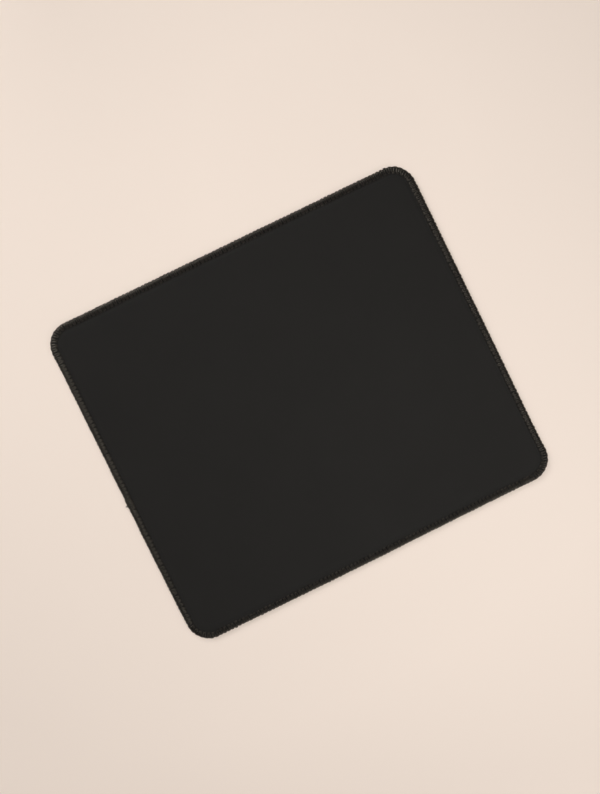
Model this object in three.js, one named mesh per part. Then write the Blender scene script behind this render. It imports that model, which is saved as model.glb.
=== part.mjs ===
// Mouse pad with an overlocked edge
// A cloth face is bonded to a sponge rubber base, and three threads are sewn round the edge.
// Millimetres, +Z up, with the origin on the desk under the middle of the pad.
// A profile is a list of points whose x is the inset from the outer edge and whose y is the height.
import * as THREE from 'three';

// Outline of the finished pad
const padLength = 250;
const padWidth = 217;
const cornerRadius = 15;
const cornerSteps = 8;

// Layers
const rubberThickness = 2.5;
const filmThickness = 0.1;
const clothThickness = 0.4;
const padThickness = rubberThickness + filmThickness + clothThickness;

// Threads
const seamWidth = 4;
const looperThickness = 0.45;
const needleThreadWidth = 0.6;
const needleThreadHeight = 0.35;
const needleBackSteps = 4;
const stitchClearance = 0.05;

// How the stitches draw the face down and the base up
const pressDepth = 0.5;
const needleDip = 0.15;
const grooveSlopeWidth = 2.2;
const baseSlopeWidth = 0.8;
const grooveSlopeSteps = 5;

// How the stitches round the cut edge, as shares of what they cover and squeeze
const faceRollWidthShare = 0.35;
const faceRollDropShare = 0.3;
const baseRollWidthShare = 0.25;
const baseRollDropShare = 0.2;
const rollSteps = 3;

// Trimmed end of the thread chain, on the left side
const tailLength = 1;
const tailRadius = 0.35;
const tailFromMiddle = 10.6;
const tailSides = 10;
const tailRadiusShares = [0.9, 1, 0.75, 0.4];
const tailLengthShares = [0, 0.4, 0.8, 1];

// Heights and insets that follow from the sizes
const cutInset = looperThickness + stitchClearance;
const coveredWidth = seamWidth - cutInset;
const pressedHeight = padThickness - pressDepth;
const liftedHeight = looperThickness + stitchClearance;
const squeezedThickness = pressedHeight - liftedHeight;
const cutTop = pressedHeight - faceRollDropShare * squeezedThickness;
const cutBottom = liftedHeight + baseRollDropShare * squeezedThickness;
const rimHeight = (cutTop + cutBottom) / 2;
const grooveHeight = pressedHeight - needleDip;
const needleInset = seamWidth + 2 * stitchClearance;
const grooveEndInset = needleInset + needleThreadWidth + stitchClearance;
const faceInset = grooveEndInset + grooveSlopeWidth;

function point(inset, height) {
  return new THREE.Vector2(inset, height);
}

// Rounding that steepens from a flat surface to the cut edge
function rollLine(width, flatHeight, cutHeight) {
  const line = [];
  for (let step = 0; step <= rollSteps; step += 1) {
    const share = step / rollSteps;
    line.push(point(cutInset + width * (1 - share), flatHeight + (cutHeight - flatHeight) * share ** 2));
  }
  return line;
}

// Face of the cloth, from the open face across the groove to the cut edge
function faceLine() {
  const line = [];
  for (let step = 0; step <= grooveSlopeSteps; step += 1) {
    const share = step / grooveSlopeSteps;
    const drop = (1 - Math.cos(Math.PI * share)) / 2;
    line.push(point(faceInset - grooveSlopeWidth * share, padThickness - (pressDepth + needleDip) * drop));
  }
  const roll = rollLine(faceRollWidthShare * coveredWidth, pressedHeight, cutTop);
  line.push(point(seamWidth, grooveHeight));
  line.push(point((seamWidth + roll[0].x) / 2, pressedHeight));
  return line.concat(roll);
}

// Underside of the rubber, from the cut edge back in to the flat that lies on the desk
function baseLine() {
  const line = rollLine(baseRollWidthShare * coveredWidth, liftedHeight, cutBottom).reverse();
  line.push(point(seamWidth, liftedHeight));
  line.push(point(seamWidth + baseSlopeWidth, 0));
  return line;
}

function lowered(line, depth) {
  return line.map(({ x, y }) => point(x, y - depth));
}

// A line moved sideways, away from the pad, with its bends mitred
function offsetLine(line, distance) {
  return line.map((current, index) => {
    const before = line[Math.max(index - 1, 0)];
    const after = line[Math.min(index + 1, line.length - 1)];
    const arriving = current.clone().sub(before);
    const leaving = after.clone().sub(current);
    const first = (index > 0 ? arriving : leaving).normalize();
    const second = (index < line.length - 1 ? leaving : arriving).normalize();
    const bisector = first.clone().add(second);
    const reach = distance / (1 + first.dot(second));
    return point(current.x + bisector.y * reach, current.y - bisector.x * reach);
  });
}

// Section of a looper thread laid over a line of the pad
function looperSection(seat) {
  return [
    ...offsetLine(seat, stitchClearance + looperThickness),
    ...offsetLine(seat, stitchClearance).reverse(),
  ];
}

// Section of the needle thread: a flat foot in the groove under a round back
function needleSection() {
  const footHeight = grooveHeight + stitchClearance;
  const middle = needleInset + needleThreadWidth / 2;
  const section = [];
  for (let step = 0; step <= needleBackSteps; step += 1) {
    const angle = (step / needleBackSteps) * Math.PI;
    section.push(point(
      middle + (needleThreadWidth / 2) * Math.cos(angle),
      footHeight + needleThreadHeight * (1 + Math.sin(angle)) / 2,
    ));
  }
  section.push(point(middle - needleThreadWidth / 4, footHeight));
  section.push(point(middle + needleThreadWidth / 4, footHeight));
  return section;
}

// The pad's rounded outline, drawn in by an inset, counterclockwise from the right
function outlineRing({ x: inset, y: height }) {
  const radius = cornerRadius - inset;
  const centreX = padLength / 2 - cornerRadius;
  const centreY = padWidth / 2 - cornerRadius;
  const centres = [[centreX, centreY], [-centreX, centreY], [-centreX, -centreY], [centreX, -centreY]];
  return centres.flatMap(([x, y], quarter) => {
    const corner = [];
    for (let step = 0; step <= cornerSteps; step += 1) {
      const angle = (quarter + step / cornerSteps) * (Math.PI / 2);
      corner.push(x + radius * Math.cos(angle), y + radius * Math.sin(angle), height);
    }
    return corner;
  });
}

// A profile swept round the outline; a plate's first and last rings are filled in flat
function sweptGeometry(profile, isPlate) {
  const columns = 4 * (cornerSteps + 1);
  const indices = [];
  const bands = isPlate ? profile.length - 1 : profile.length;
  for (let band = 0; band < bands; band += 1) {
    const inner = band * columns;
    const outer = ((band + 1) % profile.length) * columns;
    for (let column = 0; column < columns; column += 1) {
      const next = (column + 1) % columns;
      indices.push(inner + column, outer + column, outer + next);
      indices.push(inner + column, outer + next, inner + next);
    }
  }
  if (isPlate) {
    const last = (profile.length - 1) * columns;
    for (let column = 1; column < columns - 1; column += 1) {
      indices.push(0, column, column + 1);
      indices.push(last, last + column + 1, last + column);
    }
  }
  const geometry = new THREE.BufferGeometry();
  geometry.setAttribute('position', new THREE.Float32BufferAttribute(profile.flatMap(outlineRing), 3));
  geometry.setIndex(indices);
  geometry.computeVertexNormals();
  return geometry;
}

function tailGeometry() {
  const silhouette = [point(0, 0)];
  tailLengthShares.forEach((lengthShare, index) => {
    silhouette.push(point(tailRadius * tailRadiusShares[index], tailLength * lengthShare));
  });
  silhouette.push(point(0, tailLength));
  return new THREE.LatheGeometry(silhouette, tailSides);
}

function finish(name, color, roughness) {
  return new THREE.MeshStandardMaterial({ name, color, roughness, metalness: 0 });
}

const clothFinish = finish('charcoal_cloth', 0x282623, 0.85);
const filmFinish = finish('hot_melt_film', 0xb9a67c, 0.5);
const rubberFinish = finish('sponge_rubber', 0x1b1a19, 0.8);
const threadFinish = finish('black_thread', 0x242120, 0.7);

const pad = new THREE.Group();

function addPiece(name, geometry, material) {
  const piece = new THREE.Mesh(geometry, material);
  piece.name = name;
  pad.add(piece);
  return piece;
}

// Bonded layers, each resting on the one below
const clothTop = faceLine();
const clothUnder = lowered(clothTop, clothThickness);
const filmUnder = lowered(clothUnder, filmThickness);
const rubberUnder = baseLine();
addPiece('top_cloth', sweptGeometry([...clothTop, ...clothUnder.toReversed()], true), clothFinish);
addPiece('bond_film', sweptGeometry([...clothUnder, ...filmUnder.toReversed()], true), filmFinish);
addPiece('rubber_base', sweptGeometry([...filmUnder, ...rubberUnder], true), rubberFinish);

// Looper threads: the upper lies over the face, the lower under the base, and they lock at the rim
const upperSeat = clothTop.filter(({ x }) => x <= seamWidth);
upperSeat.push(point(cutInset, rimHeight + stitchClearance / 2));
const lowerSeat = rubberUnder.filter(({ x }) => x <= seamWidth);
lowerSeat.unshift(point(cutInset, rimHeight - stitchClearance / 2));
addPiece('upper_looper_thread', sweptGeometry(looperSection(upperSeat), false), threadFinish);
addPiece('lower_looper_thread', sweptGeometry(looperSection(lowerSeat), false), threadFinish);

addPiece('needle_thread', sweptGeometry(needleSection(), false), threadFinish);

// The chain end stands out of the rim where the seam starts and ends
const tail = addPiece('thread_tail', tailGeometry(), threadFinish);
tail.position.set(-padLength / 2 - stitchClearance, -tailFromMiddle, rimHeight);
tail.rotation.z = Math.PI / 2;

export default pad;
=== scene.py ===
"""A cloth-faced mouse pad with an overlocked edge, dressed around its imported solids.

Sizes and places are in millimetres until a mesh is made. X runs along the long sides, Y along the
short sides and Z up from the desk. An inset is a distance in from the pad's outer edge. A place
along the seam is counted in stitches from the thread tail, whole numbers being needle holes.
"""

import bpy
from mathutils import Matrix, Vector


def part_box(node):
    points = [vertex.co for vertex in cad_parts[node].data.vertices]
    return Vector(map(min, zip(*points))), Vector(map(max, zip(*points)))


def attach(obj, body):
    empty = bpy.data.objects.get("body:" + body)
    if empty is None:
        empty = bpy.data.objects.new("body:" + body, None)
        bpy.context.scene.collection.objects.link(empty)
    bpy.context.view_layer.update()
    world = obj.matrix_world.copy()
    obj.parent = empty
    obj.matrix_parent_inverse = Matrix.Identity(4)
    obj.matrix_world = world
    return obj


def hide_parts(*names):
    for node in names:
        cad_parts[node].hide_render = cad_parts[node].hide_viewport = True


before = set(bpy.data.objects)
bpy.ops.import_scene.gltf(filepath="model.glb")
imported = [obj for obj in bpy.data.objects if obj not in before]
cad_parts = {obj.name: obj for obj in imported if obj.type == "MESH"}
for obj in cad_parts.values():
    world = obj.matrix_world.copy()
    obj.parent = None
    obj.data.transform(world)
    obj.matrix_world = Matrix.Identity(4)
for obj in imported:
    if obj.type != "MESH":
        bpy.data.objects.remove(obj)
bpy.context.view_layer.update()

import logging
import math
from collections.abc import Callable
from dataclasses import dataclass, replace
from enum import Enum

import bpy
import numpy as np
from mathutils import Vector, geometry

MM = 0.001
TURN = 2 * math.pi
QUARTER_TURN = TURN / 4
X, Y, Z = range(3)
TINY = 1e-6
ROOT_BODY = "root"
YARN_MAP = "yarn_run"

Array = np.ndarray
Numbers = Array | float
Triple = tuple[float, float, float]
Object = bpy.types.Object
Material = bpy.types.Material
Socket = bpy.types.NodeSocket

log = logging.getLogger("mouse_pad")


class Slot(Enum):
    """The record's material slots."""

    CLOTH = "face_cloth"
    FILM = "hot_melt_film"
    RUBBER = "sponge_rubber"
    THREAD = "seam_thread"


def node_box(name: str) -> tuple[Array, Array]:
    """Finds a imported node's lowest and highest corners in millimetres."""
    low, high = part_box(name)
    return np.array(low) / MM, np.array(high) / MM


def smooth_step(share: Array) -> Array:
    """Eases shares from 0 to 1, flat at both ends and past them."""
    cut = np.clip(share, 0.0, 1.0)
    return cut * cut * (3 - 2 * cut)


def bell(distance: Array, reach: float) -> Array:
    """Falls off from 1 to both sides, to about a third at the reach."""
    return np.exp(-((distance / reach) ** 2))


def near_hole(stitches: Array, sharpness: int) -> Array:
    """Rises to 1 at each needle hole, more narrowly the higher the sharpness."""
    return (0.5 + 0.5 * np.cos(TURN * stitches)) ** sharpness


def unit(vectors: Array) -> Array:
    """Scales each row to a length of 1."""
    return vectors / np.linalg.norm(vectors, axis=1)[:, None]


def distances_along(points: Array) -> Array:
    """Measures how far along their line the points lie."""
    return np.concatenate([[0.0], np.cumsum(np.linalg.norm(np.diff(points, axis=0), axis=1))])


def between(places: Array, knots: Array, table: Array) -> Array:
    """Reads a table, whose rows stand at the knots, at places between them."""
    return np.stack([np.interp(places, knots, column) for column in table.T], 1)


def with_height(points: Array, height: Numbers) -> Array:
    """Adds heights to points in the plane."""
    return np.column_stack([points, np.broadcast_to(height, (len(points),))])


def wander(turns: Array, seed: int, waves: tuple[int, ...]) -> Array:
    """Makes a slow, closed wander along a seam.

    Args:
        turns: Places along the seam, as shares of its whole length.
        seed: Seed of the waves' phases.
        waves: How many times each wave goes up and down round the whole seam.

    Returns:
        Values from about -1 to 1, one for each place.
    """
    phases = np.random.default_rng(seed).uniform(0, TURN, len(waves))
    total = sum(np.sin(TURN * wave * turns + phase) for wave, phase in zip(waves, phases))
    return total / math.sqrt(2 * len(waves))


@dataclass(frozen=True)
class Columns:
    """Places round the pad, each on a line that runs straight in from the edge."""

    anchors: Array
    outward: Array
    corner_radius: float
    drift: Numbers = 0.0
    drift_inset: float = 4.0
    still_inset: float = 9.5

    def ring(self, inset: Numbers) -> Array:
        """Finds the points at an inset, which drift with the seam near it.

        Args:
            inset: One inset for all columns, or one for each.

        Returns:
            An array of X and Y for each column.
        """
        wanted = np.broadcast_to(np.asarray(inset, float), (len(self.anchors),))
        inner = smooth_step((self.still_inset - wanted) / (self.still_inset - self.drift_inset))
        near_seam = np.where(wanted < self.drift_inset, smooth_step(wanted / self.drift_inset), inner)
        reach = self.corner_radius - wanted - self.drift * near_seam
        return self.anchors + self.outward * reach[:, None]


def rings_at(columns: Columns, insets: tuple[float, ...], rise: Callable[[float], Numbers]) -> list[Array]:
    """Makes a ring of points at each inset, at the heights that a function gives for it."""
    return [with_height(columns.ring(inset), rise(inset)) for inset in insets]


@dataclass(frozen=True)
class PadOutline:
    """The pad's outer edge: a rectangle with round corners."""

    half_length: float
    half_width: float
    corner_radius: float = 15.0

    @property
    def half_size(self) -> Array:
        """Half the length and half the width."""
        return np.array([self.half_length, self.half_width])

    @property
    def corner_centre(self) -> Array:
        """X and Y of the corner centre on the positive side."""
        return self.half_size - self.corner_radius

    def line_length(self, inset: float) -> float:
        """Length of the closed line at an inset."""
        return 4 * float(self.corner_centre.sum()) + TURN * (self.corner_radius - inset)

    def columns_at(self, distances: Array, inset: float) -> Columns:
        """Places columns by their distance along a line inside the edge.

        Args:
            distances: Distances along that line, counterclockwise from the left side's lower end.
            inset: The line's inset.

        Returns:
            The columns.
        """
        x, y = self.corner_centre
        corners = np.array([[-x, -y], [x, -y], [x, y], [-x, y], [-x, -y]])
        arc = (self.corner_radius - inset) * QUARTER_TURN
        knots, anchors, angles = [0.0], [corners[0]], [2 * QUARTER_TURN]
        for quarters, (start, end) in enumerate(zip(corners[:-1], corners[1:]), start=3):
            knots += [knots[-1] + arc, knots[-1] + arc + float(np.linalg.norm(end - start))]
            anchors += [start, end]
            angles += [QUARTER_TURN * quarters] * 2
        wrapped = np.mod(distances, knots[-1])
        angle = np.interp(wrapped, knots, angles)
        outward = np.stack([np.cos(angle), np.sin(angle)], 1)
        return Columns(between(wrapped, knots, np.array(anchors)), outward, self.corner_radius)

    def columns_through(self, points: Array) -> Columns:
        """Makes the columns through points that lie outside the box of the corner centres."""
        anchors = np.clip(points, -self.corner_centre, self.corner_centre)
        return Columns(anchors, unit(points - anchors), self.corner_radius)

    def inset_of(self, points: Array) -> Array:
        """Measures how far inside the edge points lie.

        Args:
            points: X and Y of each point.

        Returns:
            Their insets, negative outside the edge.
        """
        sides = self.half_size - np.abs(points)
        past = np.maximum(np.abs(points) - self.corner_centre, 0)
        in_corner = (past > 0).all(1)
        return np.where(in_corner, self.corner_radius - np.linalg.norm(past, axis=1), sides.min(1))


@dataclass(frozen=True)
class EdgeSection:
    """The pad's section near the edge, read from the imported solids, without its threads."""

    cut_inset: float
    needle_inset: float
    face_top: float
    pressed_top: float
    groove_top: float
    cut_top: float
    cut_bottom: float
    lifted_bottom: float
    groove_half_width: float = 0.42
    face_slope_width: float = 2.6
    face_roll_width: float = 1.25
    base_roll_width: float = 0.9
    base_slope_width: float = 0.9

    def _slope(self, inset: Numbers, width: float) -> Numbers:
        """Eases from 0 on the open surface to 1 at the groove's edge, over a width."""
        return smooth_step((self.needle_inset + self.groove_half_width + width - inset) / width)

    def _roll(self, inset: Numbers, width: float) -> Numbers:
        """Steepens from 0 on the pressed surface to 1 at the cut edge, over a width."""
        return np.clip((self.cut_inset + width - inset) / width, 0, 1) ** 2

    def face_height(self, inset: Numbers) -> Numbers:
        """Heights of the cloth's face.

        Args:
            inset: Insets from the edge.

        Returns:
            The height at each.
        """
        slope = self._slope(inset, self.face_slope_width)
        groove = bell(inset - self.needle_inset, self.groove_half_width)
        height = self.face_top - (self.face_top - self.pressed_top) * slope
        height = height - (self.pressed_top - self.groove_top) * groove
        return height - (self.pressed_top - self.cut_top) * self._roll(inset, self.face_roll_width)

    def base_height(self, inset: Numbers) -> Numbers:
        """Heights of the rubber's underside at insets from the edge."""
        height = self.lifted_bottom * self._slope(inset, self.base_slope_width)
        return height + (self.cut_bottom - self.lifted_bottom) * self._roll(inset, self.base_roll_width)


class EdgeWrap:
    """The line in section along which yarn lies round the edge, from the groove to the underside."""

    SAMPLES = 400
    ROUNDING = 0.45

    def __init__(self, section: EdgeSection, lift: float, inner_inset: float) -> None:
        """Builds the line.

        Args:
            section: The pad's section.
            lift: How far the line lies off the pad.
            inner_inset: Inset at which it starts on the face and ends under the base.
        """
        inward = np.linspace(section.cut_inset, inner_inset, self.SAMPLES)
        over = np.stack([inward[::-1], section.face_height(inward[::-1])], 1)
        under = np.stack([inward, section.base_height(inward)], 1)
        line = self._rounded(self._evenly(np.concatenate([over, under])))
        along = unit(np.gradient(line, axis=0))
        self._normals = np.stack([along[:, 1], -along[:, 0]], 1)
        self._points = line + self._normals * lift
        self._distances = distances_along(self._points)
        self.length = float(self._distances[-1])
        self.rim = float(self._distances[np.argmin(self._points[:, 0])])

    def _evenly(self, line: Array) -> Array:
        """Respaces a line's points evenly."""
        places = distances_along(line)
        return between(np.linspace(0, places[-1], self.SAMPLES), places, line)

    def _rounded(self, line: Array) -> Array:
        """Rounds a line's bends off.

        Args:
            line: Its points, evenly spaced.

        Returns:
            The rounded line, its ends where they were.
        """
        spacing = float(np.linalg.norm(line[1] - line[0]))
        reach = max(1, round(self.ROUNDING / spacing))
        weights = np.hanning(2 * reach + 3)[1:-1]
        weights /= weights.sum()
        padded = np.concatenate([np.repeat(line[:1], reach, 0), line, np.repeat(line[-1:], reach, 0)])
        return np.stack([np.convolve(column, weights, "valid") for column in padded.T], 1)

    def at(self, distances: Array) -> list[Array]:
        """Finds insets and heights at distances from the start on the face, and the normals there."""
        return [between(distances, self._distances, table) for table in (self._points, self._normals)]


@dataclass(frozen=True)
class Pull:
    """A place where the sewn edge, or the line of needle stitches, strays sideways."""

    x: float
    y: float
    reach: float
    amount: float

    def at(self, points: Array) -> Array:
        """Finds how far points, given by X and Y, stray."""
        return self.amount * bell(np.linalg.norm(points - [self.x, self.y], axis=1), self.reach)


@dataclass(frozen=True)
class StitchRun:
    """The run of stitches round the edge, counted from the thread tail."""

    outline: PadOutline
    needle_inset: float
    tail_height: float
    stitch_length: float = 2.58
    drifts: tuple[Pull, ...] = (
        Pull(125.0, 90.0, 40.0, 0.5),
        Pull(85.0, -108.0, 35.0, 0.2),
        Pull(-85.0, -108.0, 40.0, -0.3),
        Pull(-125.0, -70.0, 40.0, -0.15),
        Pull(-90.0, 108.0, 40.0, 0.18),
    )

    @property
    def count(self) -> int:
        """How many stitches go round the pad."""
        return round(self.outline.line_length(self.needle_inset) / self.stitch_length)

    def columns(self, stitches: Array) -> Columns:
        """Places columns by stitches.

        Args:
            stitches: Places along the seam in stitches.

        Returns:
            The columns.
        """
        whole = self.outline.line_length(self.needle_inset)
        start = -(self.tail_height + self.outline.corner_centre[Y])
        columns = self.outline.columns_at(start + stitches * whole / self.count, self.needle_inset)
        rim = columns.ring(0.0)
        return replace(columns, drift=sum(pull.at(rim) for pull in self.drifts))


@dataclass(frozen=True)
class Jitter:
    """Small differences from stitch to stitch, the same on each run."""

    seed: int
    count: int

    def at(self, stitches: Array, channel: int) -> Array:
        """Reads one kind of difference, of about unit spread and smooth from stitch to stitch."""
        values = np.random.default_rng([self.seed, channel]).normal(size=self.count)
        return np.interp(np.mod(stitches, self.count), np.arange(self.count + 1), [*values, values[0]])


@dataclass(frozen=True)
class PadLie:
    """How the soft pad strays from a true rounded rectangle, outwards where a pull is positive."""

    outline: PadOutline
    pulls: tuple[Pull, ...] = (
        Pull(-122.0, 104.0, 18.0, 0.33),
        Pull(-121.0, -104.0, 20.0, -0.5),
        Pull(-95.0, -108.0, 18.0, -0.2),
        Pull(-114.0, -107.0, 6.0, 0.2),
        Pull(-5.0, -108.0, 45.0, 0.25),
        Pull(123.0, -100.0, 12.0, 0.5),
        Pull(-125.0, -28.0, 24.0, 0.1),
        Pull(-68.0, 108.0, 22.0, 0.1),
        Pull(125.0, -20.0, 25.0, 0.1),
        Pull(125.0, 98.0, 8.0, -0.15),
    )

    def settle(self, points: Array) -> Array:
        """Moves points as the pad lies.

        Args:
            points: X, Y and Z of each point.

        Returns:
            The moved points.
        """
        plan = points[:, :Z]
        away = plan - np.clip(plan, -self.outline.corner_centre, self.outline.corner_centre)
        distance = np.linalg.norm(away, axis=1)
        shift = smooth_step(distance / self.outline.corner_radius)
        shift = shift * sum(pull.at(plan) for pull in self.pulls)
        step = away / np.maximum(distance, TINY)[:, None] * shift[:, None]
        return np.column_stack([plan + step, points[:, Z]])


@dataclass(frozen=True)
class PadShape:
    """What the pieces share: the outline, the edge's section, the stitches and how the pad lies."""

    outline: PadOutline
    section: EdgeSection
    run: StitchRun
    lie: PadLie
    cloth_thickness: float
    film_thickness: float

    @classmethod
    def read(cls, yarn_thickness: float) -> "PadShape":
        """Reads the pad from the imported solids.

        Args:
            yarn_thickness: Thickness of a looper yarn as it lies on the pad.

        Returns:
            The pad's shape.
        """
        _, looper_high = node_box("upper_looper_thread")
        _, rim_high = node_box("lower_looper_thread")
        rubber_low, rubber_high = node_box("rubber_base")
        cloth_low, cloth_high = node_box("top_cloth")
        _, film_high = node_box("bond_film")
        needle_low, needle_high = node_box("needle_thread")
        tail_low, tail_high = node_box("thread_tail")
        cloth_thickness = float(cloth_high[Z] - film_high[Z])
        cut_top = float(cloth_low[Z]) + cloth_thickness
        outline = PadOutline(float(rim_high[X]), float(rim_high[Y]))
        section = EdgeSection(
            cut_inset=float(looper_high[X] - cloth_high[X]),
            needle_inset=float(looper_high[X] - needle_high[X]),
            face_top=float(cloth_high[Z]),
            pressed_top=float(looper_high[Z] - yarn_thickness),
            groove_top=float(needle_low[Z]),
            cut_top=cut_top,
            cut_bottom=float(2 * rim_high[Z] - cut_top),
            lifted_bottom=float(rubber_low[Z] + yarn_thickness),
        )
        run = StitchRun(outline, section.needle_inset, float(tail_low[Y] + tail_high[Y]) / 2)
        film_thickness = float(film_high[Z] - rubber_high[Z])
        return cls(outline, section, run, PadLie(outline), cloth_thickness, film_thickness)

    def new_object(self, name: str, points: Array, faces: list) -> Object:
        """Makes a smooth mesh object that rides on the body.

        Args:
            name: The piece's name.
            points: Its points in millimetres.
            faces: Point numbers of each face, counterclockwise from outside.

        Returns:
            The object, at the origin.
        """
        mesh = bpy.data.meshes.new(name)
        settled = self.lie.settle(np.asarray(points)) * MM
        mesh.from_pydata(settled.tolist(), [], [list(map(int, face)) for face in faces])
        mesh.validate()
        mesh.shade_smooth()
        piece = bpy.data.objects.new(name, mesh)
        bpy.context.scene.collection.objects.link(piece)
        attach(piece, ROOT_BODY)
        return piece

    def settle_object(self, piece: Object) -> None:
        """Moves a modelled piece's points as the pad lies.

        Args:
            piece: The piece, in metres.
        """
        points = np.array([vertex.co for vertex in piece.data.vertices]) / MM
        piece.data.vertices.foreach_set("co", (self.lie.settle(points) * MM).reshape(-1))
        piece.data.update()


def dress(piece: Object, material: Material, slot: Slot, *nodes: str) -> None:
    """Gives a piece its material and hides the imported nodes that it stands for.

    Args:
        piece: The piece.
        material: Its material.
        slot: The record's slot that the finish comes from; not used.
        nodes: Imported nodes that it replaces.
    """
    piece.data.materials.clear()
    piece.data.materials.append(material)
    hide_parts(*nodes)
    log.info("%s: %d faces", piece.name, len(piece.data.polygons))


def start_editing() -> None:
    """Applies a new object's place, turn and size to its mesh, and opens that with all of it selected."""
    bpy.ops.object.transform_apply(location=True, rotation=True, scale=True)
    bpy.ops.object.mode_set(mode="EDIT")
    bpy.ops.mesh.select_all(action="SELECT")


@dataclass
class Filling:
    """What closes the middle of a ring: points inside it, and faces that count the ring's points first."""

    points: Array
    faces: Array

    def at_height(self, height: Numbers) -> "Filling":
        """Lifts a filling in the plane to a height."""
        return Filling(with_height(self.points, height), self.faces)

    def faces_from(self, ring_start: int, inner_start: int, count: int) -> Array:
        """Counts the faces by a plate's points, from the first ones of its ring and of the filling."""
        return np.where(self.faces < count, self.faces + ring_start, self.faces - count + inner_start)


@dataclass
class Lattice:
    """An even lattice of points that fills a ring."""

    outline: PadOutline
    spacing: float
    margin_share: float = 0.45
    merge_distance: float = 1e-7

    INNER_TRIANGLES = 1

    def filling(self, ring: Array) -> Filling:
        """Fills a ring.

        Args:
            ring: X and Y of the ring's points, counterclockwise.

        Returns:
            The filling, its points in the plane and its faces counterclockwise.
        """
        span = np.abs(ring).max(0) - self.spacing / 2
        steps = np.maximum(2, np.round(2 * span / self.spacing)).astype(int)
        rows = [np.linspace(-edge, edge, count) for edge, count in zip(span, steps)]
        grid = np.stack(np.meshgrid(*rows), -1).reshape(-1, 2)
        margin = self.outline.inset_of(ring).max() + self.spacing * self.margin_share
        grid = grid[self.outline.inset_of(grid) > margin]
        rim = [(k, (k + 1) % len(ring)) for k in range(len(ring))]
        corners = [Vector(point) for point in np.concatenate([ring, grid])]
        cut = geometry.delaunay_2d_cdt(corners, rim, [], self.INNER_TRIANGLES, self.merge_distance)
        _, _, faces, sources, _, _ = cut
        return Filling(grid, np.array([[sources[k][0] for k in face] for face in faces]))


@dataclass
class PlateDraft:
    """A closed plate: rings over the face out to the edge, rings back under it, and two fillings."""

    face_rings: list[Array]
    back_rings: list[Array]
    face_filling: Filling
    back_filling: Filling

    def build(self, pad: PadShape, name: str) -> Object:
        """Makes the plate.

        Args:
            pad: The pad's shape.
            name: The piece's name.

        Returns:
            The object.
        """
        rings = [*self.face_rings, *self.back_rings]
        points = np.concatenate([*rings, self.face_filling.points, self.back_filling.points])
        count = len(rings[0])
        last_ring = (len(rings) - 1) * count
        face_start = len(rings) * count
        back_start = face_start + len(self.face_filling.points)
        here = np.arange(count)
        after = (here + 1) % count
        faces = []
        for first in range(0, last_ring, count):
            second = first + count
            faces.extend(np.stack([first + here, second + here, second + after, first + after], 1))
        faces.extend(self.face_filling.faces_from(0, face_start, count))
        faces.extend(self.back_filling.faces_from(last_ring, back_start, count)[:, ::-1])
        return pad.new_object(name, points, faces)


@dataclass
class FaceCloth:
    """The woven face, drawn down into a groove by the seam and puckered at each stitch."""

    pad: PadShape
    columns_per_stitch: int = 4
    lattice_spacing: float = 4.0
    flat_inset: float = 10.0
    pucker_depth: float = 0.16
    pucker_spread: float = 0.4
    pucker_seed: int = 5
    hole_sharpness: int = 2
    crease_depth: float = 0.07
    crease_width: float = 1.1
    sway_depth: float = 0.08
    sway_seed: int = 11
    sway_waves: tuple[int, ...] = (7, 16, 29, 47)
    slope_insets: tuple[float, ...] = (8.6, 7.6, 6.9, 6.3, 5.8, 5.3, 4.9, 4.5, 4.2, 3.8)
    covered_insets: tuple[float, ...] = (3.2, 2.4, 1.75, 1.3, 0.85)

    def face_height(self, stitches: Array, inset: float) -> Array:
        """Heights of the puckered face.

        Args:
            stitches: Places along the seam in stitches.
            inset: Their inset.

        Returns:
            The height of each.
        """
        run, section = self.pad.run, self.pad.section
        from_needle = inset - section.needle_inset
        pucker = self.pucker_depth * bell(from_needle, section.groove_half_width)
        crease = self.crease_depth * bell(from_needle - self.crease_width, self.crease_width)
        deeper = 1 + self.pucker_spread * Jitter(self.pucker_seed, run.count).at(stitches, 0)
        slope = smooth_step((self.flat_inset - inset) / (self.flat_inset - section.needle_inset))
        sway = self.sway_depth * wander(stitches / run.count, self.sway_seed, self.sway_waves) * slope
        hollow = (pucker + crease) * near_hole(stitches, self.hole_sharpness) * deeper
        return section.face_height(inset) - hollow - np.abs(sway)

    def build(self, material: Material) -> None:
        """Makes and dresses the cloth in its material."""
        outline, section, run = self.pad.outline, self.pad.section, self.pad.run
        thickness = self.pad.cloth_thickness
        stitches = np.arange(run.count * self.columns_per_stitch) / self.columns_per_stitch
        columns = run.columns(stitches)
        insets = (self.flat_inset, *self.slope_insets, *self.covered_insets, section.cut_inset)
        plane = Lattice(outline, self.lattice_spacing).filling(columns.ring(self.flat_inset))
        draft = PlateDraft(
            rings_at(columns, insets, lambda inset: self.face_height(stitches, inset)),
            rings_at(columns, insets[::-1], lambda inset: section.face_height(inset) - thickness),
            plane.at_height(section.face_top),
            plane.at_height(section.face_top - thickness),
        )
        cloth = draft.build(self.pad, "face_cloth")
        dress(cloth, material, Slot.CLOTH, "top_cloth")


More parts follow.
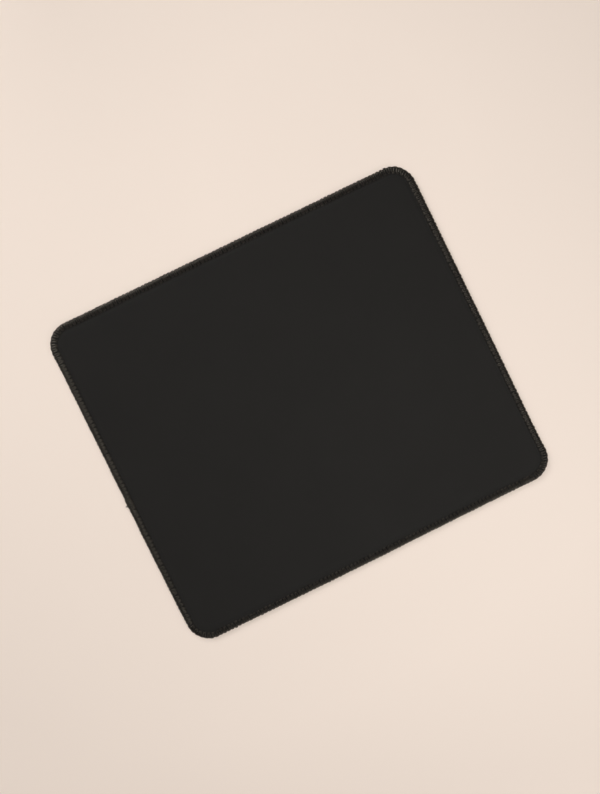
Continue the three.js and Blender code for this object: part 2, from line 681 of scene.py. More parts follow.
@dataclass
class BondFilm:
    """The hot-melt film between the cloth and the rubber, which ends a little inside their cut edge."""

    pad: PadShape
    edge_gap: float = 0.3
    corner_steps: int = 8
    crease_degrees: float = 40.0
    insets: tuple[float, ...] = (1.2, 1.75, 3.4, 4.2, 4.7, 5.4, 6.2, 7.0, 8.0)

    def build(self, material: Material) -> None:
        """Models the film and dresses it in its material."""
        section = self.pad.section
        inset = section.cut_inset + self.edge_gap
        heights = section.face_height(np.array([inset, *self.insets])) - self.pad.cloth_thickness
        film = self._rounded_sheet(inset, float(heights[0]))
        for before, after, step in zip((inset, *self.insets), self.insets, np.diff(heights)):
            bpy.ops.mesh.inset(thickness=(after - before) * MM, depth=float(step) * MM)
        bpy.ops.object.mode_set(mode="OBJECT")
        thicken = film.modifiers.new("film_thickness", "SOLIDIFY")
        thicken.thickness = self.pad.film_thickness * MM
        thicken.offset = -1.0
        bpy.ops.object.modifier_apply(modifier=thicken.name)
        bpy.ops.object.shade_smooth_by_angle(angle=math.radians(self.crease_degrees))
        film.name = "bond_film_layer"
        self.pad.settle_object(film)
        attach(film, ROOT_BODY)
        dress(film, material, Slot.FILM, "bond_film")

    def _rounded_sheet(self, inset: float, height: float) -> Object:
        """Starts the film as a flat sheet with rounded corners.

        Args:
            inset: The sheet's inset.
            height: Its height.

        Returns:
            The object, in edit mode with its face selected.
        """
        outline = self.pad.outline
        bpy.ops.object.select_all(action="DESELECT")
        bpy.ops.mesh.primitive_plane_add(size=2 * MM, location=(0, 0, height * MM))
        sheet = bpy.context.object
        sheet.scale = (outline.half_length - inset, outline.half_width - inset, 1)
        start_editing()
        radius = (outline.corner_radius - inset) * MM
        bpy.ops.mesh.bevel(offset=radius, segments=self.corner_steps, affect="VERTICES")
        bpy.ops.mesh.select_mode(type="FACE")
        bpy.ops.mesh.select_all(action="SELECT")
        return sheet


@dataclass
class RubberBase:
    """The sponge rubber body, with wavy ribs moulded into its underside."""

    pad: PadShape
    rib_rows: int = 376
    rib_columns: int = 176
    rib_pitch: float = 3.3
    rib_depth: float = 0.22
    rib_level: float = 0.55
    rib_steepness: float = 0.75
    rib_sway: float = 1.5
    rib_sway_length: float = 17.0
    rib_margin: float = 3.0
    flat_inset: float = 6.2
    lattice_spacing: float = 6.0
    top_insets: tuple[float, ...] = (8.0, 6.6, 5.4, 4.3, 3.0, 1.75, 1.1)
    under_insets: tuple[float, ...] = (0.9, 1.4, 4.2, 4.9, 5.4)

    def _grid(self) -> tuple[Array, Array]:
        """Lays a grid of points inside the flat of the underside, its outer points on the rounded line.

        Returns:
            The grid's points by row and column, and numbers of its outer points, counterclockwise.
        """
        half = self.pad.outline.half_size - self.flat_inset
        radius = self.pad.outline.corner_radius - self.flat_inset
        y = np.linspace(-half[Y], half[Y], self.rib_rows + 1)
        past = np.clip(np.abs(y) - (half[Y] - radius), 0, radius)
        reach = half[X] - radius + np.sqrt(radius**2 - past**2)
        x = np.linspace(-1, 1, self.rib_columns + 1)
        points = np.stack([x[None, :] * reach[:, None], np.broadcast_to(y[:, None], (len(y), len(x)))], -1)
        numbers = np.arange(len(y) * len(x)).reshape(len(y), len(x))
        rim = [numbers[0, :-1], numbers[:-1, -1], numbers[-1, :0:-1], numbers[:0:-1, 0]]
        return points.reshape(-1, 2), np.concatenate(rim)

    def _rib_height(self, points: Array) -> Array:
        """Heights of the ribbed underside.

        Args:
            points: X and Y of each point.

        Returns:
            The height of each, zero where a rib meets the desk.
        """
        sway = self.rib_sway * np.sin(TURN * points[:, X] / self.rib_sway_length)
        wave = np.cos(TURN * (points[:, Y] + sway) / self.rib_pitch)
        inside = smooth_step((self.pad.outline.inset_of(points) - self.flat_inset) / self.rib_margin)
        return self.rib_depth * np.clip(self.rib_level - self.rib_steepness * wave, 0, 1) * inside

    def _rib_filling(self, grid: Array, rim: Array) -> Filling:
        """Turns the grid into a filling whose rim points come first.

        Args:
            grid: The grid's points.
            rim: Numbers of its outer points.

        Returns:
            The filling.
        """
        order = np.full(len(grid), -1)
        order[rim] = np.arange(len(rim))
        inner = np.flatnonzero(order < 0)
        order[inner] = len(rim) + np.arange(len(inner))
        numbers = order.reshape(self.rib_rows + 1, self.rib_columns + 1)
        squares = [numbers[:-1, :-1], numbers[:-1, 1:], numbers[1:, 1:], numbers[1:, :-1]]
        faces = np.stack(squares, -1).reshape(-1, 4)
        return Filling(grid[inner], faces).at_height(self._rib_height(grid[inner]))

    def build(self, material: Material) -> None:
        """Makes and dresses the rubber in its material."""
        outline, section = self.pad.outline, self.pad.section
        layers_above = self.pad.cloth_thickness + self.pad.film_thickness
        grid, rim = self._grid()
        columns = outline.columns_through(grid[rim])
        top_insets = (*self.top_insets, section.cut_inset)
        under_insets = (section.cut_inset, *self.under_insets)
        plane = Lattice(outline, self.lattice_spacing).filling(columns.ring(top_insets[0]))
        draft = PlateDraft(
            rings_at(columns, top_insets, lambda inset: section.face_height(inset) - layers_above),
            [*rings_at(columns, under_insets, section.base_height), with_height(grid[rim], 0.0)],
            plane.at_height(section.face_top - layers_above),
            self._rib_filling(grid, rim),
        )
        rubber = draft.build(self.pad, "rubber_foam")
        dress(rubber, material, Slot.RUBBER, "rubber_base")


def map_yarn(mesh: bpy.types.Mesh, places: Array) -> None:
    """Gives each face corner of a yarn its place: millimetres along it, and shares of a turn round it."""
    layer = mesh.uv_layers.new(name=YARN_MAP)
    layer.uv.foreach_set("vector", places.reshape(-1).astype(np.float32))


@dataclass
class YarnPath:
    """A run of flattened yarn: its centres, the direction that its back faces, its widths and heights."""

    centres: Array
    backs: Array
    widths: Array
    heights: Array
    closed: bool = True

    def _section_points(self, sides: int) -> Array:
        """Sweeps the oval section along the run.

        Args:
            sides: Corners of the section.

        Returns:
            The points, section by section, none of them under the desk.
        """
        if self.closed:
            along = unit(np.roll(self.centres, -1, 0) - np.roll(self.centres, 1, 0))
        else:
            along = unit(np.gradient(self.centres, axis=0))
        side = unit(np.cross(along, self.backs))
        back = np.cross(side, along)
        angles = TURN * np.arange(sides) / sides
        across = side[:, None] * (np.cos(angles)[None, :] * self.widths[:, None] / 2)[..., None]
        upward = back[:, None] * (np.sin(angles)[None, :] * self.heights[:, None] / 2)[..., None]
        points = (self.centres[:, None] + across + upward).reshape(-1, 3)
        points[:, Z] = np.maximum(points[:, Z], 0.0)
        return points

    def build(self, pad: PadShape, name: str, sides: int) -> Object:
        """Makes the yarn.

        Args:
            pad: The pad's shape.
            name: The piece's name.
            sides: Corners of the section.

        Returns:
            The object.
        """
        count = len(self.centres)
        rows = count if self.closed else count - 1
        row, corner = np.meshgrid(np.arange(rows), np.arange(sides), indexing="ij")
        here, beyond = row * sides, (row + 1) % count * sides
        after = (corner + 1) % sides
        quads = [here + corner, beyond + corner, beyond + after, here + after]
        faces = np.stack(quads, -1).reshape(-1, 4).tolist()
        run = distances_along(np.concatenate([self.centres, self.centres[:1]]))
        along = np.stack([run[row], run[row + 1], run[row + 1], run[row]], -1)
        around = np.stack([corner, corner, corner + 1, corner + 1], -1) / sides
        places = np.stack([along, around], -1).reshape(-1, 2)
        if not self.closed:
            first = np.arange(sides)
            faces += [first[::-1].tolist(), (first + (count - 1) * sides).tolist()]
            places = np.concatenate([places, np.zeros((2 * sides, 2))])
        piece = pad.new_object(name, self._section_points(sides), faces)
        map_yarn(piece.data, places)
        return piece


@dataclass
class LooperThread:
    """One looper thread: a row of loops between its line of needle stitches and the rim.

    The strays say how much the loops differ from stitch to stitch.
    """

    pad: PadShape
    wrap: EdgeWrap
    needle_place: float
    rim_place: float
    rim_at_half: bool
    rim_puff: float
    seed: int
    span: tuple[float, float] | None = None
    lift: float = 0.0
    leg_width: float = 1.0
    needle_width: float = 0.6
    rim_width: float = 0.56
    thickness: float = 0.55
    needle_squeeze: float = 0.2
    rim_bulk: float = 0.4
    corner_fill: float = 0.0
    corner_calm: float = 0.55
    corner_gain: float = 3.0
    lean: float = 0.16
    squareness: float = 0.4
    pinch: float = 0.36
    pinch_reach: float = 0.28
    tuck: float = 0.7
    tuck_stitches: float = 0.5
    tuck_taper: float = 0.5
    stitch_stray: float = 0.06
    needle_stray: float = 0.14
    rim_stray: float = 0.06
    lift_stray: float = 0.035
    width_stray: float = 0.1
    thickness_stray: float = 0.05
    puff_stray: float = 0.1
    steps: int = 24
    sides: int = 10

    def _phase(self) -> Array:
        """Finds places along the yarn.

        Returns:
            The places in stitches, all the way round or over the span.
        """
        if self.span is None:
            return np.arange(self.pad.run.count * self.steps) / self.steps
        first, last = self.span
        return np.linspace(first, last, round((last - first) * self.steps) + 1)

    def _ends(self, phase: Array) -> Array:
        """Finds how near the yarn's tucked-in ends places lie.

        Args:
            phase: The places in stitches.

        Returns:
            Shares from 0 to 1 at the ends.
        """
        if self.span is None:
            return np.zeros(len(phase))
        first, last = self.span
        return 1 - smooth_step(np.minimum(phase - first, last - phase) / self.tuck_stitches)

    def path(self) -> YarnPath:
        """Lays the loops.

        Returns:
            The yarn's path.
        """
        phase = self._phase()
        jitter = Jitter(self.seed, self.pad.run.count)
        out = (1 - np.cos(TURN * phase)) / 2
        shift = 0.0 if self.rim_at_half else 0.5
        swing = self.squareness / TURN * np.sin(2 * TURN * phase)
        stray = self.stitch_stray * jitter.at(phase, 0)
        columns = self.pad.run.columns(phase + shift + swing + self.lean * (out - 0.5) + stray)
        needle = self.needle_place + self.needle_stray * jitter.at(phase, 1)
        rim = self.rim_place + self.rim_stray * jitter.at(phase + 0.5, 2)
        places = needle + (rim - needle) * out
        points, normals = self.wrap.at(places)
        near_needle = bell(places - self.needle_place, self.pinch_reach)
        near_rim = np.clip(2 * out - 1, 0, 1) ** 2
        in_corner = np.clip(self.corner_gain * np.abs(columns.outward.prod(1)), 0, 1)
        ends = self._ends(phase)
        puff = self.lift + self.lift_stray * jitter.at(phase, 3)
        puff = puff - self.pinch * near_needle - self.tuck * ends
        stray = self.puff_stray * jitter.at(phase + 0.5, 6) * (1 - self.corner_calm * in_corner)
        puff += (self.rim_puff + self.corner_fill * in_corner + stray) * near_rim
        insets, heights = (points + normals * puff[:, None]).T
        widths = np.where(out < 0.5, self.needle_width, self.rim_width)
        widths += (self.leg_width - widths) * np.sqrt(np.clip(1 - (2 * out - 1) ** 2, 0, 1))
        thickness = self.thickness - self.needle_squeeze * near_needle + self.rim_bulk * near_rim
        taper = 1 - self.tuck_taper * ends
        return YarnPath(
            centres=with_height(columns.ring(insets), heights),
            backs=np.column_stack([columns.outward * -normals[:, :1], normals[:, 1]]),
            widths=widths * (1 + self.width_stray * jitter.at(phase, 4)) * taper,
            heights=thickness * (1 + self.thickness_stray * jitter.at(phase, 5)) * taper,
            closed=self.span is None,
        )

    def build(self, name: str, node: str, material: Material) -> None:
        """Makes the thread under its name and dresses it in place of its node."""
        dress(self.path().build(self.pad, name, self.sides), material, Slot.THREAD, node)


@dataclass
class NeedleThread:
    """The row of stitches in the groove, which dips into a hole at every stitch."""

    pad: PadShape
    diameter: float = 0.42
    flatness: float = 0.85
    inward: float = 0.1
    rise: float = 0.16
    hump: float = 0.17
    hump_sharpness: int = 6
    dip: float = 0.45
    dip_shift: float = 0.17
    dip_sharpness: int = 16
    slant: float = 0.12
    stitch_stray: float = 0.03
    inset_stray: float = 0.05
    height_stray: float = 0.02
    seed: int = 23
    steps: int = 16
    sides: int = 8

    def build(self, material: Material) -> None:
        """Makes and dresses the thread in its material."""
        run, section = self.pad.run, self.pad.section
        stitches = np.arange(run.count * self.steps) / self.steps
        jitter = Jitter(self.seed, run.count)
        columns = run.columns(stitches + self.stitch_stray * jitter.at(stitches, 0))
        insets = section.needle_inset + self.inward + self.slant * np.sin(TURN * stitches)
        insets += self.inset_stray * jitter.at(stitches, 1)
        over_loop = self.hump * near_hole(stitches, self.hump_sharpness)
        into_hole = self.dip * near_hole(stitches - self.dip_shift, self.dip_sharpness)
        heights = section.groove_top + self.rise + over_loop - into_hole
        heights += self.height_stray * jitter.at(stitches, 2)
        path = YarnPath(
            centres=with_height(columns.ring(insets), heights),
            backs=np.tile([0.0, 0.0, 1.0], (len(stitches), 1)),
            widths=np.full(len(stitches), self.diameter),
            heights=np.full(len(stitches), self.diameter * self.flatness),
        )
        dress(path.build(self.pad, "needle_stitches", self.sides), material, Slot.THREAD, "needle_thread")


@dataclass(frozen=True)
class YarnEnd:
    """One cut yarn of the trimmed chain: where it leaves the seam, its thickness and how far it reaches."""

    side: float
    height: float
    thickness: float
    reach: float
    bend: tuple[float, float]


@dataclass
class ThreadTail:
    """The trimmed end of the thread chain: short cut yarns that stand out of the rim.

    A stretch is a share of a yarn's length, and how many times as wide it ends as it starts. The
    cut's rim, hollow and fray are shares of the yarn's thickness.
    """

    pad: PadShape
    root_depth: float = 0.9
    corners: int = 12
    stretches: tuple[tuple[float, float], ...] = ((0.55, 1.0), (0.2, 1.06), (0.15, 1.1), (0.1, 0.86))
    cut_rim: float = 0.16
    cut_hollow: float = 0.2
    cut_fray: float = 0.12
    yarn_ends: tuple[YarnEnd, ...] = (
        YarnEnd(-0.3, 0.05, 0.55, 1.05, (0.12, 0.06)),
        YarnEnd(0.3, -0.1, 0.52, 0.95, (-0.1, -0.04)),
        YarnEnd(0.02, 0.3, 0.42, 1.35, (-0.04, 0.06)),
    )

    def build(self, material: Material) -> None:
        """Makes and dresses the tail in the yarn's material."""
        low, high = node_box("thread_tail")
        root = Vector((float(high[X]), float(low[Y] + high[Y]) / 2, float(low[Z] + high[Z]) / 2))
        pieces = [self._yarn(root, end) for end in self.yarn_ends]
        bpy.ops.object.select_all(action="DESELECT")
        for piece in pieces:
            piece.select_set(True)
        bpy.context.view_layer.objects.active = pieces[0]
        bpy.ops.object.join()
        tail = bpy.context.object
        tail.name = "thread_tail_ends"
        self._map_run(tail.data, root)
        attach(tail, ROOT_BODY)
        dress(tail, material, Slot.THREAD, "thread_tail")

    def _yarn(self, root: Vector, end: YarnEnd) -> Object:
        """Models one yarn, from a disc inside the seam out to its frayed cut.

        Args:
            root: Where the chain leaves the rim.
            end: The yarn.

        Returns:
            The object, with its place in its mesh.
        """
        start = root + Vector((self.root_depth, end.side, end.height))
        bpy.ops.mesh.primitive_circle_add(
            vertices=self.corners,
            radius=end.thickness / 2 * MM,
            fill_type="NGON",
            location=start * MM,
            rotation=(0, -QUARTER_TURN, 0),
        )
        piece = bpy.context.object
        start_editing()
        out = self.root_depth + end.reach
        for share, widening in self.stretches:
            step = Vector((-out * share, end.bend[0] * share, end.bend[1] * share)) * MM
            bpy.ops.mesh.extrude_region_move(TRANSFORM_OT_translate={"value": step})
            bpy.ops.transform.resize(value=(1.0, widening, widening))
        thickness = end.thickness
        bpy.ops.mesh.inset(thickness=thickness * self.cut_rim * MM, depth=-thickness * self.cut_hollow * MM)
        bpy.ops.mesh.poke(offset=thickness * self.cut_fray * MM)
        bpy.ops.mesh.select_all(action="SELECT")
        bpy.ops.mesh.normals_make_consistent(inside=False)
        bpy.ops.object.mode_set(mode="OBJECT")
        bpy.ops.object.shade_smooth()
        return piece

    @staticmethod
    def _map_run(mesh: bpy.types.Mesh, root: Vector) -> None:
        """Maps the tail for the yarn's material.

        Args:
            mesh: The tail's mesh.
            root: Where the chain leaves the rim.
        """
        while mesh.uv_layers:
            mesh.uv_layers.remove(mesh.uv_layers[0])
        points = np.array([vertex.co for vertex in mesh.vertices]) / MM - np.array(root)
        places = np.stack([-points[:, X], np.arctan2(points[:, Y], points[:, Z]) / TURN], 1)
        map_yarn(mesh, places[[loop.vertex_index for loop in mesh.loops]])


class NodeBench:
    """Lays out the nodes of a material, a shared group or a world."""

    def __init__(self, tree: bpy.types.NodeTree) -> None:
        """Takes the tree to work on."""
        self.tree = tree

    def feed(self, socket: Socket, value: object) -> None:
        """Sets an input, or links it.

        Args:
            socket: The input.
            value: A socket to link it to, or its plain value.
        """
        if isinstance(value, Socket):
            self.tree.links.new(value, socket)
        else:
            socket.default_value = value

    def add(self, kind: str, inputs: dict[str | int, object], **settings: object) -> bpy.types.Node:
        """Adds a node.

        Args:
            kind: The node's type, without its leading ShaderNode.
            inputs: What each input takes, by its name or number.
            settings: The node's own properties.

        Returns:
            The node.
        """
        node = self.tree.nodes.new("ShaderNode" + kind)
        for name, value in settings.items():
            setattr(node, name, value)
        for name, value in inputs.items():
            self.feed(node.inputs[name], value)
        return node

    def sum(self, operation: str, *values: object) -> Socket:
        """Works something out from numbers, or sockets that give them, by an operation such as ADD."""
        return self.add("Math", dict(enumerate(values)), operation=operation).outputs[0]

    def product(self, first: Socket, *others: object) -> Socket:
        """Multiplies numbers.

        Args:
            first: Socket of the first.
            others: The others, or sockets that give them.

        Returns:
            The product's socket.
        """
        for other in others:
            first = self.sum("MULTIPLY", first, other)
        return first

    def scaled(self, vector: object, factor: object) -> Socket:
        """Multiplies a vector or a colour by a number."""
        return self.add("VectorMath", {0: vector, "Scale": factor}, operation="SCALE").outputs[0]

    def spread(self, value: Socket, *limits: object) -> Socket:
        """Maps numbers to another range, given both ends of theirs and what each end becomes."""
        names = ("From Min", "From Max", "To Min", "To Max")
        return self.add("MapRange", {"Value": value, **dict(zip(names, limits))}).outputs["Result"]

    def noise(self, vector: Socket, scale: Socket, detail: float, roughness: float) -> Socket:
        """Makes noise from 0 to 1, of a scale, its layers of finer noise and how strong these are."""
        inputs = {"Vector": vector, "Scale": scale, "Detail": detail, "Roughness": roughness}
        return self.add("TexNoise", inputs).outputs["Fac"]


class EffectGroup:
    """A shared effect: a node group that is built once and placed in each material."""

    name = "effect"
    inputs: dict[str, str] = {}
    outputs: tuple[str, ...] = ("Tone",)

    @classmethod
    def _build(cls) -> bpy.types.NodeTree:
        """Builds the group's sockets and nodes.

        Returns:
            The group.
        """
        tree = bpy.data.node_groups.new(cls.name, "ShaderNodeTree")
        for name, kind in cls.inputs.items():
            tree.interface.new_socket(name, in_out="INPUT", socket_type="NodeSocket" + kind)
        for name in cls.outputs:
            tree.interface.new_socket(name, in_out="OUTPUT", socket_type="NodeSocketFloat")
        start, end = tree.nodes.new("NodeGroupInput"), tree.nodes.new("NodeGroupOutput")
        bench = NodeBench(tree)
        for name, socket in cls.effect(bench, dict(start.outputs.items())).items():
            bench.feed(end.inputs[name], socket)
        return tree

    @classmethod
    def effect(cls, bench: NodeBench, given: dict[str, Socket]) -> dict[str, Socket]:
        """Lays out what the group does.

        Args:
            bench: The bench for the group's nodes.
            given: The group's inputs.

        Returns:
            The socket for each output.
        """
        raise NotImplementedError

    @classmethod
    def place(cls, bench: NodeBench, **inputs: object) -> bpy.types.NodeOutputs:
        """Places the group in a material.

        Args:
            bench: The material's bench.
            inputs: What each input takes, by its name in small letters.

        Returns:
            The group's outputs.
        """
        tree = bpy.data.node_groups.get(cls.name) or cls._build()
        named = {name.replace("_", " ").title(): value for name, value in inputs.items()}
        return bench.add("Group", named, node_tree=tree).outputs


class Mottle(EffectGroup):
    """Soft patches of lighter and darker tone."""

    name = "soft_mottle"
    inputs = {"Vector": "Vector", "Patch Size": "Float", "Strength": "Float"}
    finer_layers = 3.0
    finer_strength = 0.6

    @classmethod
    def effect(cls, bench: NodeBench, given: dict[str, Socket]) -> dict[str, Socket]:
        """Lays out patches, with finer ones in them, around a tone of 1."""
        scale = bench.sum("DIVIDE", 1.0, given["Patch Size"])
        patches = bench.noise(given["Vector"], scale, cls.finer_layers, cls.finer_strength)
        swing = bench.product(bench.sum("SUBTRACT", patches, 0.5), given["Strength"])
        return {"Tone": bench.sum("MULTIPLY_ADD", swing, 2.0, 1.0)}


class ToneFade(EffectGroup):
    """A tone that fades with the distance from a place."""

    name = "tone_fade"
    limits = ("Near", "Far", "Near Tone", "Far Tone")
    inputs = {"Vector": "Vector", "Centre": "Vector", **dict.fromkeys(limits, "Float")}

    @classmethod
    def effect(cls, bench: NodeBench, given: dict[str, Socket]) -> dict[str, Socket]:
        """Lays out the distance and what it turns into."""
        ruler = bench.add("VectorMath", {0: given["Vector"], 1: given["Centre"]}, operation="DISTANCE")
        return {"Tone": bench.spread(ruler.outputs["Value"], *(given[name] for name in cls.limits))}


class PlainWeave(EffectGroup):
    """Threads that pass over and under each other, with painted shade in the low places between them."""

    name = "plain_weave"
    inputs = {"Vector": "Vector", "Thread Pitch": "Float"}
    outputs = ("Height", "Tone")
    crossing = 0.3
    under_height = 0.35
    # Painted shade: the tone is darker where the threads lie low and lighter on their tops.
    shaded_low_tone = 0.72
    lit_high_tone = 1.09

    @classmethod
    def effect(cls, bench: NodeBench, given: dict[str, Socket]) -> dict[str, Socket]:
        """Lays out round threads both ways, each on top in every other place."""
        places = bench.scaled(given["Vector"], bench.sum("DIVIDE", math.pi, given["Thread Pitch"]))
        axes = bench.add("SeparateXYZ", {"Vector": places}).outputs
        across, along = (bench.sum("SINE", axes[name]) for name in ("X", "Y"))
        over = bench.product(across, along)
        threads = []
        for wave, edge in ((across, -cls.crossing), (along, cls.crossing)):
            level = bench.spread(over, edge, -edge, cls.under_height, 1.0)
            threads.append(bench.product(bench.sum("ABSOLUTE", wave), level))
        height = bench.sum("MAXIMUM", *threads)
        return {"Height": height, "Tone": bench.spread(height, 0.0, 1.0, cls.shaded_low_tone, cls.lit_high_tone)}


class YarnTwist(EffectGroup):
    """Strands that wind round a yarn, and the fine fibres in them, with painted shade between them."""

    name = "yarn_twist"
    inputs = {"Run": "Vector", "Twist Length": "Float", "Strands": "Float", "Fibre Size": "Float"}
    outputs = ("Height", "Tone")
    yarn_radius = 0.5
    run_shrink = 0.1
    finer_layers = 3.0
    finer_strength = 0.65
    fibre_height = 1.4
    strand_height = 0.5
    # Painted shade: the tone is lighter where the strands and fibres stand higher and darker between them;
    # the fibres' tone also differs at random.
    fibre_tone_and_shade = 1.1
    strand_shade = 0.1

    @classmethod
    def effect(cls, bench: NodeBench, given: dict[str, Socket]) -> dict[str, Socket]:
        """Lays out slanted strands, and noise drawn out along them."""
        places = bench.add("SeparateXYZ", {"Vector": given["Run"]}).outputs
        turns = bench.sum("ADD", bench.sum("DIVIDE", places["X"], given["Twist Length"]), places["Y"])
        strand = bench.sum("COSINE", bench.product(turns, given["Strands"], TURN))
        angle = bench.product(turns, TURN)
        place = {
            "X": bench.product(places["X"], cls.run_shrink),
            "Y": bench.product(bench.sum("SINE", angle), cls.yarn_radius),
            "Z": bench.product(bench.sum("COSINE", angle), cls.yarn_radius),
        }
        vector = bench.add("CombineXYZ", place).outputs["Vector"]
        scale = bench.sum("DIVIDE", 1.0, given["Fibre Size"])
        fibres = bench.noise(vector, scale, cls.finer_layers, cls.finer_strength)
        relief = bench.product(strand, cls.strand_height)
        tone = bench.sum("MULTIPLY_ADD", bench.sum("SUBTRACT", fibres, 0.5), cls.fibre_tone_and_shade, 1.0)
        return {
            "Height": bench.sum("MULTIPLY_ADD", fibres, cls.fibre_height, relief),
            "Tone": bench.sum("MULTIPLY_ADD", strand, cls.strand_shade, tone),
        }


class MaterialBench(NodeBench):
    """Lays out a material."""

    def __init__(self, name: str) -> None:
        """Starts the material under its name."""
        self.material = bpy.data.materials.new(name)
        self.material.use_nodes = True
        super().__init__(self.material.node_tree)
        self.place = self.add("TexCoord", {}).outputs["Object"]

    def patches(self, size: float, strength: float) -> Socket:
        """Mottles the material with patches of a size in millimetres, and gives their tone."""
        return Mottle.place(self, vector=self.place, patch_size=size * MM, strength=strength)["Tone"]

    def bump(self, height: Socket, depth: float, strength: float) -> Socket:
        """Turns heights from 0 to 1 into relief, its depth in millimetres, and gives the normals."""
        inputs = {"Height": height, "Distance": depth * MM, "Strength": strength}
        return self.add("Bump", inputs).outputs["Normal"]

    def finished(self, surface: dict[str, object]) -> Material:
        """Finishes the material.

        Args:
            surface: What each input of its surface shader takes.

        Returns:
            The material.
        """
        shader = self.tree.nodes["Principled BSDF"]
        for name, value in surface.items():
            self.feed(shader.inputs[name], value)
        return self.material


@dataclass(frozen=True)
class Fade:
    """How a finish gets lighter or darker away from a place."""

    centre: Triple
    near: float
    far: float
    near_tone: float
    far_tone: float

    def tone(self, bench: MaterialBench) -> Socket:
        """Places the fade in a material.

        Args:
            bench: The material's bench.

        Returns:
            The socket of the tone.
        """
        return ToneFade.place(
            bench,
            vector=bench.place,
            centre=tuple(value * MM for value in self.centre),
            near=self.near * MM,
            far=self.far * MM,
            near_tone=self.near_tone,
            far_tone=self.far_tone,
        )["Tone"]


@dataclass(frozen=True)
class ClothFinish:
    """Fine woven polyester, charcoal, with a soft bloom, and a painted sheen that makes it lighter towards
    the pad's +X, -Y corner.
    """

    colour: Triple = (0.0175, 0.0162, 0.0147)
    roughness: float = 0.85
    gloss_level: float = 0.22
    sheen: float = 0.12
    sheen_roughness: float = 0.45
    thread_pitch: float = 0.42
    weave_depth: float = 0.05
    weave_strength: float = 0.35
    patch_size: float = 45.0
    patch_strength: float = 0.08
    # Painted sheen: the colour is lighter near the pad's +X, -Y corner and darker away from it.
    painted_light_fade: Fade = Fade((94.0, -104.0, 3.0), 87.0, 266.0, 1.103, 0.854)

    def material(self) -> Material:
        """Makes the material."""
        bench = MaterialBench("charcoal_cloth")
        weave = PlainWeave.place(bench, vector=bench.place, thread_pitch=self.thread_pitch * MM)
        patches = bench.patches(self.patch_size, self.patch_strength)
        # Tone: the weave's painted shade, random patches and the painted sheen of the fade.
        tone = bench.product(weave["Tone"], patches, self.painted_light_fade.tone(bench))
        return bench.finished({
            "Base Color": bench.scaled(self.colour, tone),
            "Roughness": self.roughness,
            "Specular IOR Level": self.gloss_level,
            "Sheen Weight": self.sheen,
            "Sheen Roughness": self.sheen_roughness,
            "Normal": bench.bump(weave["Height"], self.weave_depth, self.weave_strength),
        })


@dataclass(frozen=True)
class FilmFinish:
    """Cured hot-melt adhesive, amber and slightly cloudy."""

    colour: Triple = (0.48, 0.38, 0.2)
    roughness: float = 0.45
    patch_size: float = 6.0
    patch_strength: float = 0.25

    def material(self) -> Material:
        """Makes the material."""
        bench = MaterialBench("amber_hot_melt")
        colour = bench.scaled(self.colour, bench.patches(self.patch_size, self.patch_strength))
        return bench.finished({"Base Color": colour, "Roughness": self.roughness})


@dataclass(frozen=True)
class RubberFinish:
    """Black sponge rubber with a fine pebbled skin, and painted shade between the pebbles."""

    colour: Triple = (0.0118, 0.0112, 0.0108)
    roughness: float = 0.72
    low_roughness: float = 0.86
    gloss_level: float = 0.4
    pebble_size: float = 0.45
    pebble_smoothness: float = 0.4
    pebble_edge: float = 0.7
    pebble_depth: float = 0.06
    pebble_strength: float = 0.6
    # Painted shade: the tone is darker at the pebbles' edges and lighter on their tops.
    shaded_low_tone: float = 0.82
    lit_high_tone: float = 1.08
    patch_size: float = 30.0
    patch_strength: float = 0.16

    def material(self) -> Material:
        """Makes the material."""
        bench = MaterialBench("sponge_rubber_skin")
        patches = bench.patches(self.patch_size, self.patch_strength)
        scale = 1 / (self.pebble_size * MM)
        inputs = {"Vector": bench.place, "Scale": scale, "Smoothness": self.pebble_smoothness}
        pebbles = bench.add("TexVoronoi", inputs, feature="SMOOTH_F1").outputs["Distance"]
        height = bench.spread(pebbles, 0.0, self.pebble_edge, 1.0, 0.0)
        tone = bench.product(patches, bench.spread(height, 0.0, 1.0, self.shaded_low_tone, self.lit_high_tone))
        return bench.finished({
            "Base Color": bench.scaled(self.colour, tone),
            "Roughness": bench.spread(height, 0.0, 1.0, self.low_roughness, self.roughness),
            "Specular IOR Level": self.gloss_level,
            "Normal": bench.bump(height, self.pebble_depth, self.pebble_strength),
        })


@dataclass(frozen=True)
class YarnFinish:
    """Black textured polyester yarn."""

    name: str
    twist_length: float
    strands: float
    fibre_size: float = 0.07
    slub_size: float = 1.5
    slub_strength: float = 1.6
    colour: Triple = (0.005, 0.0042, 0.0035)
    gloss_tint: Triple = (1.0, 0.88, 0.73)
    roughness: float = 0.32
    gloss_level: float = 0.86
    ior: float = 1.65
    sheen: float = 0.02
    relief: float = 0.04
    relief_strength: float = 0.7

    def material(self) -> Material:
        """Makes the material."""
        bench = MaterialBench(self.name)
        twist = YarnTwist.place(
            bench,
            run=bench.add("UVMap", {}, uv_map=YARN_MAP).outputs["UV"],
            twist_length=self.twist_length,
            strands=self.strands,
            fibre_size=self.fibre_size,
        )
        # The twist's tone holds painted shade between strands and fibres; the slubs' tone differs at
        # random.
        tone = bench.product(twist["Tone"], bench.patches(self.slub_size, self.slub_strength))
        return bench.finished({
            "Base Color": bench.scaled(self.colour, tone),
            "Roughness": self.roughness,
            "IOR": self.ior,
            "Specular IOR Level": self.gloss_level,
            "Specular Tint": (*self.gloss_tint, 1.0),
            "Sheen Weight": self.sheen,
            "Normal": bench.bump(twist["Height"], self.relief, self.relief_strength),
        })


